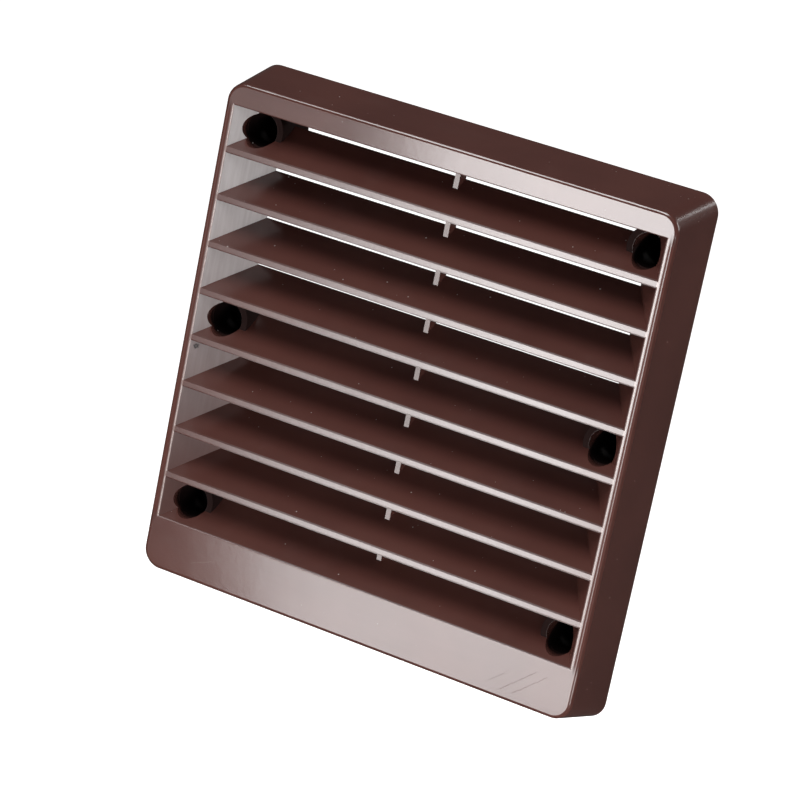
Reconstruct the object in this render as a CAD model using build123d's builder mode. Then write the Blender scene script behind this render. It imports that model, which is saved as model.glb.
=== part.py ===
"""External vent grille, moulded in one piece: a flared skirt around steep louvre slats.

Millimetres. X runs to the right seen from outside, Y goes into the wall and Z is up. The origin is the centre
of the face that lies against the wall, so the slats look out towards -Y.
"""

from build123d import *
import os

os.makedirs("parts", exist_ok=True)

# Outside of the body
front_width = 150.0  # front face, side to side
front_height = 154.0  # front face, top to bottom
skirt_depth = 22.0  # wall face to front face
side_flare = 2.0  # how much wider the wall face is on each side
end_flare = 4.0  # how much taller the wall face is at the top and at the bottom
corner_radius = 6.0
front_edge_radius = 1.2
skin = 2.5  # front plate and outer skirt

# The opening and the walls that line it
side_lip = 2.75  # front face beside the opening
top_rim = 7.0  # front face above the opening
bottom_band = 16.3  # front face below the opening
lining = 2.0  # walls around the opening
side_taper = 10.5  # how much each side of the opening comes in from front to back
lip_edge_radius = 0.4
pocket_inset = 5.0  # end of the hollows behind the rim and the band, from the side of the front face
wedge_setback = 6.0  # start of the hollows beside the opening, behind the front face

# Slats
slat_depth = 14.0  # front face to the slats' back edges
slat_spacing = 14.75  # aimed at: the openings share the height evenly
roof_drop = 2.05  # how much nearer the roof is than the next slat would be
slat_front = 2.4  # upright thickness at the front edge
slat_back = 1.6  # upright thickness at the back edge
slat_rise = 8.8  # how much higher the back edge is
slat_edge_radius = 0.5

# Thin post that ties the slats together at their back edges
post_width = 1.6
post_depth = 4.2

# Bores for the fixing screws, one at each end of three openings
bore_radius = 5.1
bore_inset = 7.5  # axis of a bore, from the side of the opening at the front
bore_rise = 6.4  # axis of a bore, above the front edge of the slat below it
boss_wall = 1.9  # around a bore
boss_setback = 6.8  # front end of a boss, behind the front face
seat_thickness = 2.0  # for the screw's head, at the wall
screw_hole_radius = 2.3

# Places that follow from the sizes
front_y = -skirt_depth
plate_back = front_y + skin
slat_end = front_y + slat_depth
opening_half = front_width / 2 - side_lip
opening_top = front_height / 2 - top_rim
floor_front = -front_height / 2 + bottom_band
opening_height = opening_top - floor_front
slat_count = round(opening_height / slat_spacing) - 1
slat_pitch = (opening_height + roof_drop) / (slat_count + 1)
bore_rows = (0, slat_count // 2, slat_count)  # openings that hold a bore, counted from the bottom
bore_half = opening_half - bore_inset
rise_per_mm = slat_rise / slat_depth
wedge_y = front_y + wedge_setback
boss_y = front_y + boss_setback
through = 5.0  # how far a cut runs on past the body


def slat_top(row, y):
    """Height of the upper face of a slat at depth y, where row 0 is the floor of the lowest opening."""
    return floor_front + row * slat_pitch + (y - front_y) * rise_per_mm


def skirt_side(y):
    """Half width of the outer skirt at depth y."""
    return front_width / 2 + side_flare * (y - front_y) / skirt_depth


def skirt_end(y):
    """Half height of the outer skirt at depth y."""
    return front_height / 2 + end_flare * (y - front_y) / skirt_depth


def opening_side(y):
    """Half width of the opening at depth y."""
    return opening_half - side_taper * (y - front_y) / slat_depth


def opening_block(start, end, room):
    """Block that fills the opening from depth start to depth end, larger all round by room."""
    with BuildPart() as block:
        with BuildSketch(Plane.YZ):
            with BuildLine():
                Polyline(
                    (start, slat_top(0, start) - room),
                    (start, opening_top + room),
                    (end, opening_top + room),
                    (end, slat_top(0, end) - room),
                    close=True,
                )
            make_face()
        extrude(amount=front_width, both=True)
        with BuildSketch(Plane.XY):
            with BuildLine():
                Polyline(
                    (-opening_side(start) - room, start),
                    (opening_side(start) + room, start),
                    (opening_side(end) + room, end),
                    (-opening_side(end) - room, end),
                    close=True,
                )
            make_face()
        extrude(amount=front_height, both=True, mode=Mode.INTERSECT)
    return block.part


bore_places = [(side * bore_half, slat_top(row, front_y) + bore_rise) for row in bore_rows for side in (-1, 1)]

# Slats, cut to the tapering width of the opening and let into its sides
with BuildPart() as slats:
    for row in range(1, slat_count + 1):
        with BuildSketch(Plane.YZ) as slat:
            with BuildLine():
                Polyline(
                    (front_y, slat_top(row, front_y)),
                    (slat_end, slat_top(row, slat_end)),
                    (slat_end, slat_top(row, slat_end) - slat_back),
                    (front_y, slat_top(row, front_y) - slat_front),
                    close=True,
                )
            make_face()
            fillet(slat.vertices().group_by(Axis.Y)[0], slat_edge_radius)
        extrude(amount=opening_half + lining / 2, both=True)
    add(opening_block(front_y, slat_end, lining / 2), mode=Mode.INTERSECT)

with BuildPart() as body:
    # Outer skirt, wider and taller at the wall than at the front
    with BuildSketch(Plane.XZ.offset(skirt_depth)):
        RectangleRounded(front_width, front_height, corner_radius)
    with BuildSketch(Plane.XZ):
        RectangleRounded(front_width + 2 * side_flare, front_height + 2 * end_flare, corner_radius)
    loft(ruled=True)
    fillet(body.faces().sort_by(Axis.Y)[0].edges(), front_edge_radius)

    # Space behind the slats, open to the wall
    with BuildSketch(Plane.XZ.offset(-slat_end)):
        RectangleRounded(2 * (skirt_side(slat_end) - skin), 2 * (skirt_end(slat_end) - skin), corner_radius - skin)
    with BuildSketch(Plane.XZ):
        RectangleRounded(2 * (skirt_side(0) - skin), 2 * (skirt_end(0) - skin), corner_radius - skin)
    loft(ruled=True, mode=Mode.SUBTRACT)

    # Hollows behind the top rim and the bottom band
    with BuildSketch(Plane.YZ):
        with BuildLine():
            Polyline(
                (plate_back, opening_top),
                (slat_end, opening_top),
                (slat_end, skirt_end(slat_end) - skin),
                (plate_back, skirt_end(plate_back) - skin),
                close=True,
            )
        make_face()
        with BuildLine():
            Polyline(
                (plate_back, slat_top(0, plate_back)),
                (slat_end, slat_top(0, slat_end)),
                (slat_end, -skirt_end(slat_end) + skin),
                (plate_back, -skirt_end(plate_back) + skin),
                close=True,
            )
        make_face()
    extrude(amount=front_width / 2 - pocket_inset, both=True, mode=Mode.SUBTRACT)

    # Hollows beside the opening, between the skirt and the slanting sides of the lining
    with BuildSketch(Plane.XY.offset(floor_front)) as wedges:
        with BuildLine():
            Polyline(
                (skirt_side(wedge_y) - skin, wedge_y),
                (skirt_side(slat_end) - skin, slat_end),
                (opening_side(slat_end) + lining, slat_end),
                (opening_side(wedge_y) + lining, wedge_y),
                close=True,
            )
        make_face()
        mirror(about=Plane.YZ)
    extrude(amount=opening_height, mode=Mode.SUBTRACT)

    # Lining of the opening, then the opening itself, with its floor sloping like the slats
    add(opening_block(plate_back, slat_end, lining))
    add(opening_block(front_y - through, slat_end + through, 0), mode=Mode.SUBTRACT)
    front_face = body.faces().filter_by(Plane.XZ).sort_by(Axis.Y)[0]
    fillet(front_face.inner_wires().edges(), lip_edge_radius)

    add(slats.part)

    # Post between the slats
    with BuildSketch(Plane.XY.offset(slat_top(0, slat_end) - lining / 2)):
        with Locations((0, slat_end - post_depth / 2)):
            Rectangle(post_width, post_depth)
    extrude(amount=opening_top - slat_top(0, slat_end) + lining)

    # Bosses that carry the bores back to the wall
    with BuildSketch(Plane.XZ):
        with Locations(bore_places):
            Circle(bore_radius + boss_wall)
    extrude(amount=-boss_y)

    # Bores, through sides and slats down to their seats, and the screw holes
    with BuildSketch(Plane.XZ.offset(seat_thickness)):
        with Locations(bore_places):
            Circle(bore_radius)
    extrude(amount=skirt_depth, mode=Mode.SUBTRACT)
    with BuildSketch(Plane.XZ):
        with Locations(bore_places):
            Circle(screw_hole_radius)
    extrude(amount=skirt_depth, mode=Mode.SUBTRACT)

body.part.label = "grille_body"
export_step(body.part, "parts/grille_body.step")
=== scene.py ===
"""Looks of an external vent grille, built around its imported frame.

The moulded body keeps its solid and gets a glossy brown finish with dust, a scuff and scratches. Lengths are
in metres, in the frame's own axes: X to the right seen from outside, Y into the wall, Z up.
"""

import logging
import math
from dataclasses import dataclass
from enum import Enum
from typing import Any, Dict, Optional, Tuple, Union

import bpy
from mathutils import Matrix, Vector

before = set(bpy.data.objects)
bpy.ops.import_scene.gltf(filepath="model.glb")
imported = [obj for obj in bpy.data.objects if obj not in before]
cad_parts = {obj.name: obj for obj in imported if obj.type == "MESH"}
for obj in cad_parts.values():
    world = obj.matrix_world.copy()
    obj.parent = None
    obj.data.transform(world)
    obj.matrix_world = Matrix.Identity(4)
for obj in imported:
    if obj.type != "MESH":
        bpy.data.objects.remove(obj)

logging.basicConfig(level=logging.INFO, format="%(name)s: %(message)s")
log = logging.getLogger("vent_grille")

MM = 0.001
WHITE = (1.0, 1.0, 1.0, 1.0)
Colour = Tuple[float, float, float, float]
Point = Tuple[float, float, float]
Operand = Union["Value", float, int]
Trio = Tuple["Value", "Value", "Value"]


class Reach(Enum):
    """Kinds of reflection that a light takes part in."""

    ALL = "all"
    GLOSS = "gloss"
    DIFFUSE = "diffuse"


class Value:
    """A number that comes out of a node, with Python's operators."""

    def __init__(self, graph: "Graph", socket: bpy.types.NodeSocket) -> None:
        """Keeps the socket and the graph that it belongs to."""
        self.graph = graph
        self.socket = socket

    def maths(self, operation: str, *operands: Operand) -> "Value":
        """Adds one Math node.

        Args:
            operation: Blender's name of the operation.
            operands: its inputs, in order.

        Returns:
            The node's result.
        """
        return self.graph.value("ShaderNodeMath", {"operation": operation}, dict(enumerate(operands)))

    def __add__(self, other: Operand) -> "Value":
        """Sum."""
        return self.maths("ADD", self, other)

    def __radd__(self, other: Operand) -> "Value":
        """Sum, with the number first."""
        return self.maths("ADD", other, self)

    def __sub__(self, other: Operand) -> "Value":
        """Difference."""
        return self.maths("SUBTRACT", self, other)

    def __rsub__(self, other: Operand) -> "Value":
        """Difference, with the number first."""
        return self.maths("SUBTRACT", other, self)

    def __mul__(self, other: Operand) -> "Value":
        """Product."""
        return self.maths("MULTIPLY", self, other)

    def __rmul__(self, other: Operand) -> "Value":
        """Product, with the number first."""
        return self.maths("MULTIPLY", other, self)

    def __gt__(self, other: Operand) -> "Value":
        """One where this is larger, and zero elsewhere."""
        return self.maths("GREATER_THAN", self, other)

    def __abs__(self) -> "Value":
        """Size without sign."""
        return self.maths("ABSOLUTE", self)

    def most(self, other: Operand) -> "Value":
        """The larger of two."""
        return self.maths("MAXIMUM", self, other)

    def least(self, other: Operand) -> "Value":
        """The smaller of two."""
        return self.maths("MINIMUM", self, other)

    def wrapped(self, half: float) -> "Value":
        """Repeats between minus half and half."""
        return self.maths("WRAP", self, half, -half)

    def root(self) -> "Value":
        """Square root."""
        return self.maths("SQRT", self)

    def clamped(self) -> "Value":
        """Held between zero and one."""
        return self.graph.value("ShaderNodeClamp", {}, {0: self})

    def between(self, low: float, high: float) -> "Value":
        """Smooth step from zero at low to one at high, or down if low is the larger.

        Args:
            low: where the step starts.
            high: where the step ends.

        Returns:
            The step, from zero to one.
        """
        start, end, first, last = (low, high, 0.0, 1.0) if low < high else (high, low, 1.0, 0.0)
        sockets = {"Value": self, 1: start, 2: end, 3: first, 4: last}
        return self.graph.value("ShaderNodeMapRange", {"interpolation_type": "SMOOTHSTEP"}, sockets)

    def step(self, low: float, high: float) -> "Value":
        """Smooth step of a length, with its two ends in millimetres."""
        return self.between(low * MM, high * MM)


class Graph:
    """The nodes of one material or world."""

    def __init__(self, tree: bpy.types.NodeTree) -> None:
        """Starts with an empty tree.

        Args:
            tree: the node tree to fill.
        """
        self.tree = tree
        tree.nodes.clear()

    def node(
        self,
        kind: str,
        settings: Optional[Dict[str, Any]] = None,
        sockets: Optional[Dict[Union[int, str], Any]] = None,
    ) -> bpy.types.Node:
        """Adds any node.

        Args:
            kind: Blender's type name of the node.
            settings: properties, which are set first.
            sockets: values or links of its inputs, by name or place.

        Returns:
            The new node.
        """
        node = self.tree.nodes.new(kind)
        for name, setting in (settings or {}).items():
            setattr(node, name, setting)
        for key, given in (sockets or {}).items():
            if isinstance(given, Value):
                given = given.socket
            if isinstance(given, bpy.types.NodeSocket):
                self.tree.links.new(given, node.inputs[key])
            else:
                node.inputs[key].default_value = given
        return node

    def value(self, kind: str, settings: Dict[str, Any], sockets: Dict[Union[int, str], Any]) -> Value:
        """Adds a node and returns its first output as a number."""
        return Value(self, self.node(kind, settings, sockets).outputs[0])

    def mixed(self, factor: Operand, first: Any, second: Any) -> bpy.types.NodeSocket:
        """Lays one colour over another.

        Args:
            factor: how much of the second colour shows.
            first: colour or link below.
            second: colour or link on top.

        Returns:
            The resulting colour.
        """
        settings = {"data_type": "RGBA", "blend_type": "MIX", "clamp_factor": True}
        return self.node("ShaderNodeMix", settings, {0: factor, 6: first, 7: second}).outputs[2]

    def joined(self, factor: Any, first: Any, second: Any) -> bpy.types.NodeSocket:
        """Goes over from one shader to another.

        Args:
            factor: how much of the second shader shows.
            first: shader below.
            second: shader on top.

        Returns:
            The resulting shader.
        """
        return self.node("ShaderNodeMixShader", {}, {0: factor, 1: first, 2: second}).outputs[0]

    def noise(self, where: Any, scale: float, detail: float = 2.0, rough: float = 0.5) -> Value:
        """Soft noise between zero and one.

        Args:
            where: coordinates.
            scale: patches in a metre.
            detail: how many finer layers are added.
            rough: how strong the finer layers are.

        Returns:
            The noise.
        """
        sockets = {"Vector": where, "Scale": scale, "Detail": detail, "Roughness": rough}
        return self.value("ShaderNodeTexNoise", {}, sockets)

    def split(self, vector: Any) -> Trio:
        """The three parts of a vector."""
        node = self.node("ShaderNodeSeparateXYZ", {}, {0: vector})
        return tuple(Value(self, output) for output in node.outputs)

    def along(self, vector: Any, scale: Point) -> bpy.types.NodeSocket:
        """Coordinates, stretched along each axis."""
        sockets = {"Vector": vector, "Scale": scale}
        return self.node("ShaderNodeMapping", {"vector_type": "POINT"}, sockets).outputs[0]

    def seen(self) -> Tuple[Value, Value]:
        """How a ray meets the surface.

        Returns:
            One for rays straight from the camera or through something clear, and one for mirrored rays.
        """
        path = self.node("ShaderNodeLightPath")
        direct = Value(self, path.outputs["Is Camera Ray"]) + Value(self, path.outputs["Is Transmission Ray"])
        return direct.clamped(), Value(self, path.outputs["Is Glossy Ray"])


class Surface(Graph):
    """A material's nodes."""

    def __init__(self, name: str) -> None:
        """Starts a new material.

        Args:
            name: the material's name.
        """
        self.material = bpy.data.materials.new(name)
        self.material.use_nodes = True
        super().__init__(self.material.node_tree)
        self.where = self.node("ShaderNodeTexCoord").outputs["Object"]
        self.facing = self.node("ShaderNodeNewGeometry").outputs["Normal"]

    def shader(self, **sockets: Any) -> bpy.types.NodeSocket:
        """Adds a principled shader.

        Args:
            sockets: the shader's inputs, with underscores for the spaces in their names.

        Returns:
            The shader's output.
        """
        named = {key.replace("_", " "): given for key, given in sockets.items()}
        return self.node("ShaderNodeBsdfPrincipled", {}, named).outputs[0]

    def finish(self, shader: bpy.types.NodeSocket) -> bpy.types.Material:
        """Closes the material.

        Args:
            shader: what its surface shows.

        Returns:
            The finished material.
        """
        self.node("ShaderNodeOutputMaterial", {}, {"Surface": shader})
        return self.material


@dataclass(frozen=True)
class Scratch:
    """A fine straight scratch on the front face.

    Attributes:
        start: X and Z of one end, in millimetres.
        end: X and Z of the other end, in millimetres.
        width: its width, in millimetres.
        strength: how clearly it shows.
    """

    start: Tuple[float, float]
    end: Tuple[float, float]
    width: float
    strength: float


@dataclass(frozen=True)
class BrownMoulding:
    """Glossy dark brown plastic with dust and light wear, painted shade in the bores and on the bosses, and
    painted highlights and a painted sheen. Lengths are in millimetres.

    Attributes:
        colour: the plastic's own colour.
        deep: a shade darker, for slow changes.
        flow: a shade paler, for flow marks.
        dust: colour of dust.
        painted_sheen: colour of a pale painted reflection on the left slanting sides.
        painted_nose_highlight: colour of the painted highlight on the slats' front edges.
        painted_bore_shade: colour of the painted shade inside the bores.
        shade: colour of the painted shade on the matt bosses around them.
        scuff: colour of a scuffed dark mark.
        painted_lip_highlight: colour of the painted highlight along the lips' inner edges.
        scratched: colour in a scratch.
        front: Y of the front face.
        opening_half: half the opening's width at the front.
        opening_floor: Z of the opening's lower edge at the front.
        opening_roof: Z of the opening's upper edge.
        side_slope: depth gained along X on the slanting sides.
        slat_slope: depth gained along Z on the slats.
        bore_half: X of the bores on the right.
        bore_height: Z of the middle row of bores.
        bore_pitch: from one row of bores to the next.
        bore_rise: axis of a bore above the front edge of its slat.
        bore_radius: just outside a bore.
        boss_radius: just outside a boss.
        highlight_line: X of the painted highlight line along the right lip's inner edge.
        ridge_line: X of the second bright line on the right lip.
        scuffed: place of the dark mark.
        roughness: of clean plastic.
        satin: how much rougher the left slanting sides are.
        scratches: marks on the band.
    """

    colour: Colour = (0.092, 0.033, 0.026, 1.0)
    deep: Colour = (0.074, 0.026, 0.021, 1.0)
    flow: Colour = (0.13, 0.055, 0.047, 1.0)
    dust: Colour = (0.62, 0.58, 0.55, 1.0)
    painted_sheen: Colour = (0.60, 0.57, 0.57, 1.0)
    painted_nose_highlight: Colour = (0.70, 0.69, 0.69, 1.0)
    painted_bore_shade: Colour = (0.0022, 0.0016, 0.0016, 1.0)
    shade: Colour = (0.016, 0.0075, 0.0068, 1.0)
    scuff: Colour = (0.010, 0.007, 0.007, 1.0)
    painted_lip_highlight: Colour = (0.34, 0.25, 0.23, 1.0)
    scratched: Colour = (0.20, 0.14, 0.12, 1.0)
    front: float = -22.0
    opening_half: float = 72.25
    opening_floor: float = -60.6
    opening_roof: float = 69.9
    side_slope: float = 1.333
    slat_slope: float = 1.591
    bore_half: float = 64.75
    bore_height: float = 4.7
    bore_pitch: float = 59.0
    bore_rise: float = 6.4
    bore_radius: float = 5.15
    boss_radius: float = 7.1
    highlight_line: float = 72.4
    ridge_line: float = 73.78
    scuffed: Point = (-70.94, -20.26, -5.36)
    roughness: float = 0.2
    satin: float = 0.24
    scratches: Tuple[Scratch, ...] = (
        Scratch((51.0, -75.0), (62.5, -65.0), 0.16, 0.45),
        Scratch((55.5, -74.5), (66.0, -65.5), 0.14, 0.4),
        Scratch((47.0, -73.5), (54.0, -67.5), 0.12, 0.3),
        Scratch((-58.0, -71.5), (-49.0, -68.0), 0.12, 0.22),
    )

    def _specks(self, s: Surface, scale: float, size: float, share: float) -> Value:
        """Scattered round specks.

        Args:
            s: the surface.
            scale: cells in a metre.
            size: radius of a speck in its cell.
            share: part of the cells that have one.

        Returns:
            How clearly a speck shows, and zero elsewhere.
        """
        cells = s.node("ShaderNodeTexVoronoi", {}, {"Vector": s.where, "Scale": scale, "Randomness": 1.0})
        distance = Value(s, cells.outputs["Distance"])
        pick, spread, _ = s.split(cells.outputs["Color"])
        return distance.between(size, size * 0.45) * (pick > 1.0 - share) * (0.35 + 0.65 * spread)

    def _dust(self, s: Surface, nx: Value, nz: Value) -> Trio:
        """Dust on faces that look up or to the right.

        Args:
            s: the surface.
            nx: how far the surface faces right.
            nz: how far the surface faces up.

        Returns:
            Masks of a faint dust layer, of specks and of lint.
        """
        upward = nz.between(0.3, 0.9)
        outside = (upward + nx.between(0.6, 0.95) * 0.8 + 0.12).clamped()
        faint = s.noise(s.where, 60.0, 4.0, 0.6).between(0.5, 0.85) * upward * 0.012
        big = self._specks(s, 230.0, 0.075, 0.16)
        small = self._specks(s, 620.0, 0.11, 0.06)
        lint = self._specks(s, 140.0, 0.03, 0.25)
        return faint, big.most(small * 0.7) * outside, lint * outside

    def _bores(self, place: Trio, ny: Value) -> Tuple[Value, Value]:
        """Masks of the painted shade in the bores and on the bosses around them.

        Args:
            place: the surface's three coordinates.
            ny: how far the surface faces the wall.

        Returns:
            How dark the painted shade in a bore is, growing with depth, and where the bosses are.
        """
        x, y, z = place
        aside = abs(x) - self.bore_half * MM
        above = (z - self.bore_height * MM).wrapped(self.bore_pitch * MM / 2.0)
        away = (aside * aside + above * above).root()
        side_edge = self.front * MM + (self.opening_half * MM - abs(x)) * self.side_slope
        slat_edge = self.front * MM + (above + self.bore_rise * MM) * self.slat_slope
        depth = y - side_edge.least(slat_edge)
        inside = away.step(self.bore_radius, self.bore_radius - 0.1)
        square = (ny.between(-0.9, -0.97) + abs(ny).between(0.12, 0.05)).clamped()
        # the bosses get painted shade, a near-black brown, in place of the plastic's own colour
        boss = away.step(self.boss_radius + 0.1, self.boss_radius) * square
        # painted shade: darker deeper into each bore, and on the bosses around them
        return inside * depth.step(0.1, 2.6), boss * y.step(-17.0, -16.0) * (1.0 - inside)

    def _scratched(self, s: Surface, place: Trio) -> Value:
        """Mask of the scratches on the front face.

        Args:
            s: the surface.
            place: its three coordinates.

        Returns:
            How clearly a scratch shows, and zero elsewhere.
        """
        x, y, z = place
        front = y.step(self.front + 0.8, self.front + 0.2)
        wobble = (s.noise(s.where, 420.0, 1.0) - 0.5) * (0.5 * MM)
        total: Optional[Value] = None
        for scratch in self.scratches:
            (x0, z0), (x1, z1) = scratch.start, scratch.end
            length = math.hypot(x1 - x0, z1 - z0)
            ux, uz = (x1 - x0) / length, (z1 - z0) / length
            across = (x - x0 * MM) * -uz + (z - z0 * MM) * ux + wobble
            beside = (x - x0 * MM) * ux + (z - z0 * MM) * uz
            ends = beside.step(0.0, 1.5) * beside.step(length, length - 1.5)
            line = abs(across).step(scratch.width, scratch.width * 0.3) * ends * scratch.strength
            total = line if total is None else total.most(line)
        return total * front

    def _spot(self, s: Surface, radius: float) -> Value:
        """Ragged round spot at the place of the dark mark.

        Args:
            s: the surface.
            radius: its radius, in millimetres.

        Returns:
            One inside and zero outside.
        """
        centre = tuple(part * MM for part in self.scuffed)
        away = s.node("ShaderNodeVectorMath", {"operation": "DISTANCE"}, {0: s.where, 1: centre})
        ragged = (s.noise(s.where, 900.0, 2.0) - 0.5) * (radius * 2.0 * MM)
        return (Value(s, away.outputs["Value"]) + ragged).step(radius, radius * 0.55)

    def _opening(self, z: Value) -> Value:
        """Mask of the heights that the opening takes up at the front."""
        floor = z.step(self.opening_floor - 0.3, self.opening_floor + 0.3)
        return floor * z.step(self.opening_roof + 0.3, self.opening_roof - 0.3)

    def _nose_highlight(self, place: Trio, facing: Trio, fine: Value) -> Value:
        """Painted highlight on the slats' front edges, stronger to the right and on their lower rounding.

        Args:
            place: the surface's three coordinates.
            facing: the three parts of its normal.
            fine: fine noise.

        Returns:
            How strong the painted highlight is.
        """
        x, y, z = place
        _, ny, nz = facing
        noses = y.step(self.front + 0.65, self.front + 0.4) * abs(x).step(72.1, 71.8) * self._opening(z)
        # the painted highlight grows from the left end towards the right and fades again past x = 40 mm
        share = x.step(-75.0, -15.0) * x.step(100.0, 40.0)
        lower = ny.between(-0.97, -0.8) * nz.between(0.6, 0.1)
        return (noses * share * (0.18 + 0.36 * lower) * (0.72 + 0.56 * fine)).clamped()

    def _lips(self, s: Surface, place: Trio) -> Trio:
        """Lines along the narrow lips at both sides of the opening.

        Args:
            s: the surface.
            place: its three coordinates.

        Returns:
            How strong the painted highlight along the inner edge is, where the lip is dull, and the bright
            ridge in the dull part.
        """
        x, y, z = place
        edge = abs(abs(x) - self.highlight_line * MM).step(0.42, 0.2)
        edge = edge * y.step(self.front + 0.7, self.front + 0.3) * self._opening(z)
        # painted highlight along the lips' inner edges, patchy
        lip_highlight = edge * (0.35 + 0.5 * s.noise(s.where, 190.0, 2.0))
        length = z.step(-63.0, -58.0) * z.step(72.0, 67.0) * y.step(self.front + 1.4, self.front + 1.1)
        dull = abs(x).step(72.98, 73.12) * abs(x).step(74.9, 74.5) * length
        return lip_highlight, dull, abs(abs(x) - self.ridge_line * MM).step(0.2, 0.08)

    def material(self) -> bpy.types.Material:
        """Makes the finish.

        Returns:
            The brown plastic.
        """
        s = Surface("brown_moulding")
        place, facing = s.split(s.where), s.split(s.facing)
        x, y, z = place
        nx, ny, nz = facing
        slow = s.noise(s.where, 26.0, 3.0, 0.55)
        fine = s.noise(s.where, 900.0, 2.0, 0.6)
        uneven = s.noise(s.where, 75.0, 4.0, 0.6)
        marks = s.noise(s.along(s.where, (30.0, 160.0, 220.0)), 1.0, 3.0, 0.6)
        streaks = s.noise(s.along(s.where, (500.0, 900.0, 60.0)), 1.0, 3.0, 0.6)

        faint, specks, lint = self._dust(s, nx, nz)
        bores, bosses = self._bores(place, ny)
        lip_highlight, dull, ridge = self._lips(s, place)
        scratched = self._scratched(s, place)
        scuff = (self._spot(s, 0.95) - self._spot(s, 0.3) * 0.6).clamped()
        inner = nx.between(0.70, 0.76) * ny.between(-0.5, -0.56) * abs(x).step(72.6, 72.3)
        # painted sheen: a pale painted reflection, streaked, on the left slanting sides
        painted_sheen = inner * z.step(-60.0, 60.0) * (0.50 + streaks * 0.48)

        colour = s.mixed(slow.between(0.3, 0.72), self.colour, self.deep)
        colour = s.mixed((marks - 0.5) * 0.25 + 0.06, colour, self.flow)
        colour = s.mixed(faint, colour, self.dust)
        # lays the painted sheen on the left slanting sides
        colour = s.mixed(painted_sheen, colour, self.painted_sheen)
        colour = s.mixed((specks + lint).clamped() * 0.75, colour, self.dust)
        colour = s.mixed(scratched * 0.6, colour, self.scratched)
        colour = s.mixed(scuff * 0.85, colour, self.scuff)
        # lays the painted highlight along the lips' inner edges
        colour = s.mixed(lip_highlight, colour, self.painted_lip_highlight)
        # lays the painted highlight on the slats' front edges
        colour = s.mixed(self._nose_highlight(place, facing, fine), colour, self.painted_nose_highlight)

        fronts = ny.between(-0.85, -0.97) * abs(x).step(72.2, 71.8) * self._opening(z)
        plate = y.step(self.front + 0.15, self.front + 0.05) * (1.0 - fronts)
        roughness = self.roughness + (uneven - 0.5) * 0.06 + (fine - 0.5) * 0.03 + inner * self.satin
        roughness = roughness - plate * 0.05 + fronts * 0.03
        roughness = roughness + specks * 0.4 + faint * 1.2 + scratched * 0.25 + scuff * 0.3
        relief = fine * 0.08 + s.noise(s.where, 110.0, 2.0) * 0.3 - scratched * 0.8 + specks * 1.2
        bump = s.node("ShaderNodeBump", {}, {"Strength": 0.06, "Distance": 0.0012, "Height": relief})
        plastic = s.shader(
            Base_Color=colour,
            Roughness=roughness.clamped(),
            Normal=bump.outputs[0],
            Specular_IOR_Level=1.0,
            IOR=1.5,
        )
        # matt colour: painted shade in the bores and on the bosses; the dull lip keeps the plastic's own
        # colour
        matt = s.shader(
            Base_Color=s.mixed(dull, s.mixed(bosses, self.painted_bore_shade, self.shade), self.colour),
            Roughness=0.6 + uneven * 0.2,
            Normal=bump.outputs[0],
            Specular_IOR_Level=0.05,
        )
        covered = (bores + bosses + dull * (0.95 - ridge * 0.6)).clamped()
        return s.finish(s.joined(covered, plastic, matt))


@dataclass
class LouvreBody:
    """The moulded body, which keeps its solid from the frame.

    Attributes:
        node: its name in the frame.
        finish: what it is made of.
    """

    node: str = "grille_body"
    finish: BrownMoulding = BrownMoulding()

    def dress(self) -> None:
        """Gives the body its finish."""
        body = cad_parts[self.node]
        material = self.finish.material()
        for place in body.material_slots:
            place.material = material
        log.info("%s: %d faces in %s", self.node, len(body.data.polygons), material.name)


@dataclass(frozen=True)
class Panel:
    """A soft light panel that the camera doesn't see.

    Attributes:
        name: its name.
        place: its middle.
        target: the point that it faces.
        size: its width and height.
        radiance: its brightness, where one is white.
        roll: turn about its own axis, in degrees.
        reach: which kinds of reflection it takes part in.
    """

    name: str
    place: Point
    target: Point
    size: Tuple[float, float]
    radiance: float
    roll: float = 0.0
    reach: Reach = Reach.ALL

    def hang(self) -> None:
        """Puts the panel in its place."""
        width, height = self.size
        data = bpy.data.lights.new(self.name, "AREA")
        data.shape = "RECTANGLE"
        data.size, data.size_y = width, height
        data.energy = self.radiance * math.pi * width * height
        light = bpy.data.objects.new(self.name, data)
        aim = Vector(self.target) - Vector(self.place)
        facing = aim.to_track_quat("-Z", "Y").to_matrix().to_4x4()
        turn = Matrix.Rotation(math.radians(self.roll), 4, "Z")
        light.matrix_world = Matrix.Translation(self.place) @ facing @ turn
        light.visible_camera = False
        light.visible_diffuse = self.reach is not Reach.GLOSS
        light.visible_glossy = self.reach is not Reach.DIFFUSE
        bpy.context.scene.collection.objects.link(light)
        log.info("light %s", self.name)


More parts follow.
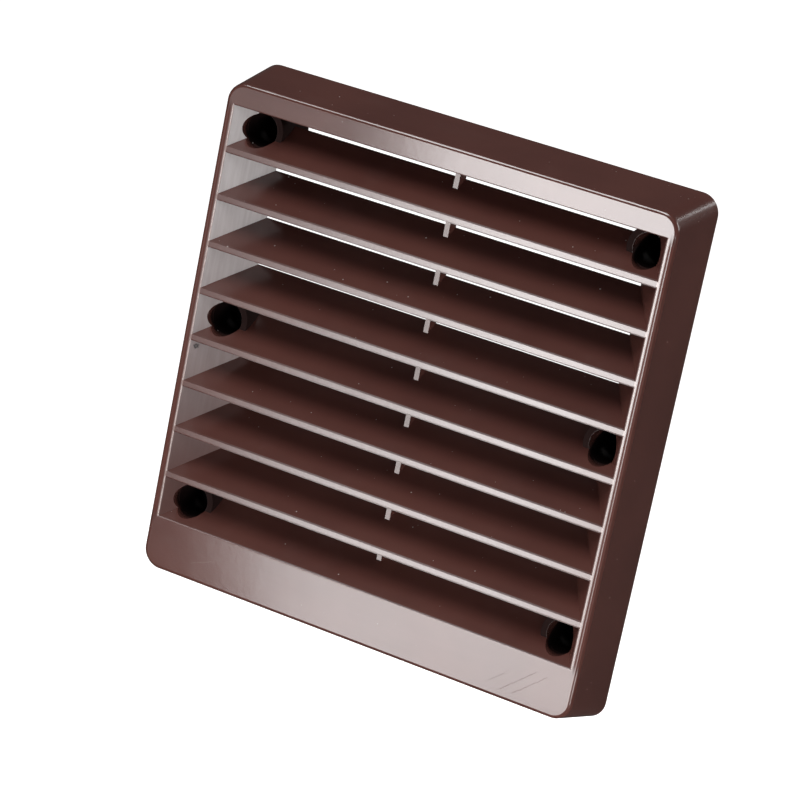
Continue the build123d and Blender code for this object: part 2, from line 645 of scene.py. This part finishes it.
@dataclass
class Studio:
    """Floor, lights, surroundings and camera.

    Attributes:
        floor_level: height of the floor.
        floor_half: half the floor's width.
        floor_tones: the two tones of the floor.
        room_level: brightness of the room as soft light.
        gloss_low: brightness of the floor and the low backdrop where gloss mirrors them.
        gloss_high: brightness of the room above, where gloss mirrors it.
        camera_place: where the camera stands.
        camera_right: direction to the right of the picture.
        camera_down: direction to the bottom of the picture.
        camera_ahead: viewing direction.
        lens: focal length for a 36 mm wide picture.
        shift: picture shift, in picture widths.
        panels: the lights.
    """

    floor_level: float = -0.32
    floor_half: float = 12.0
    floor_tones: Tuple[Colour, Colour] = ((0.52, 0.52, 0.52, 1.0), (0.48, 0.48, 0.48, 1.0))
    room_level: float = 0.15
    gloss_low: float = 0.05
    gloss_high: float = 0.04
    camera_place: Point = (0.41117, -0.87047, 0.26232)
    camera_right: Point = (0.859544, 0.472766, 0.194105)
    camera_down: Point = (0.304443, -0.168604, -0.93749)
    camera_ahead: Point = (-0.410487, 0.864908, -0.288852)
    lens: float = 149.695
    shift: Tuple[float, float] = (-0.01, 0.0937)
    panels: Tuple[Panel, ...] = (
        Panel(
            "front_upper", (-0.133, -0.5, -0.055), (-0.133, 0, -0.055), (0.205, 0.19), 8.2, 17, Reach.GLOSS,
        ),
        Panel(
            "front_lower", (-0.1665, -0.5, -0.225), (-0.1665, 0, -0.225), (0.255, 0.15), 5.5, 17, Reach.GLOSS,
        ),
        Panel("low_front", (0.14, -0.56, -0.27), (0, 0, 0), (0.4, 0.1), 18.0, 0, Reach.DIFFUSE),
        Panel("left_dim", (-0.345, -0.52, -0.06), (-0.345, 0, -0.06), (0.19, 0.2), 0.8, 17, Reach.GLOSS),
        Panel("key", (-0.42, -0.84, 1.3), (0, 0, 0), (0.9, 0.9), 7.9),
        Panel("right_low", (0.35, -0.46, -0.16), (-0.03, 0, 0), (0.2, 0.2), 6.5),
        Panel("right_fill", (0.36, 0.12, 0.24), (0.07, 0, 0.05), (0.2, 0.2), 3.4),
        Panel("rear_fill", (-0.25, 0.75, 0.05), (0, 0, 0), (0.35, 0.35), 6.0, 0, Reach.DIFFUSE),
        Panel("corner_glint", (0.4, 0.78, 0.55), (0.07, 0, 0.07), (0.12, 0.12), 24.0),
    )

    def _floor(self) -> None:
        """Lays the floor, which the camera sees as white."""
        half = self.floor_half
        corners = [(-half, -half), (half, -half), (half, half), (-half, half)]
        mesh = bpy.data.meshes.new("floor")
        mesh.from_pydata([(x, y, self.floor_level) for x, y in corners], [], [(0, 1, 2, 3)])
        floor = bpy.data.objects.new("floor", mesh)
        bpy.context.scene.collection.objects.link(floor)
        s = Surface("pale_floor")
        tone = s.mixed(s.noise(s.where, 3.0), *self.floor_tones)
        plain = s.node("ShaderNodeBsdfDiffuse", {}, {"Color": tone}).outputs[0]
        white = s.node("ShaderNodeEmission", {}, {"Color": WHITE, "Strength": 1.0}).outputs[0]
        pale = s.node("ShaderNodeEmission", {}, {"Color": WHITE, "Strength": self.gloss_low}).outputs[0]
        bright = s.node("ShaderNodeAddShader", {}, {0: plain, 1: white}).outputs[0]
        direct, mirrored = s.seen()
        mesh.materials.append(s.finish(s.joined(direct, s.joined(mirrored, plain, pale), bright)))

    def _surroundings(self) -> None:
        """Makes the room: white for the camera, and dim as soft light and where gloss mirrors it."""
        world = bpy.data.worlds.new("room")
        world.use_nodes = True
        bpy.context.scene.world = world
        g = Graph(world.node_tree)
        _, _, height = g.split(g.node("ShaderNodeTexCoord").outputs["Generated"])
        direct, mirrored = g.seen()
        backdrop = height.between(0.45, 0.05) * (self.gloss_low - self.gloss_high) + self.gloss_high
        strength = self.room_level * (1.0 - mirrored) + backdrop * mirrored
        strength = strength * (1.0 - direct) + direct
        lit = g.node("ShaderNodeBackground", {}, {"Color": WHITE, "Strength": strength})
        g.node("ShaderNodeOutputWorld", {}, {"Surface": lit.outputs[0]})

    def _camera(self) -> None:
        """Places the camera at the photograph's viewpoint."""
        data = bpy.data.cameras.new("camera")
        data.sensor_width = 36.0
        data.lens = self.lens
        data.shift_x, data.shift_y = self.shift
        data.clip_start, data.clip_end = 0.01, 60.0
        camera = bpy.data.objects.new("camera", data)
        axes = Matrix((self.camera_right, -Vector(self.camera_down), -Vector(self.camera_ahead))).transposed()
        camera.matrix_world = Matrix.Translation(self.camera_place) @ axes.to_4x4()
        bpy.context.scene.collection.objects.link(camera)
        bpy.context.scene.camera = camera

    def build(self) -> None:
        """Sets up the whole studio."""
        bpy.context.scene.view_settings.view_transform = "Standard"
        self._floor()
        self._surroundings()
        for panel in self.panels:
            panel.hang()
        self._camera()


def main() -> None:
    """Builds the looks of each piece, then the studio."""
    LouvreBody().dress()
    Studio().build()


if __name__ == "__main__":
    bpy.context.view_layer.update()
    main()
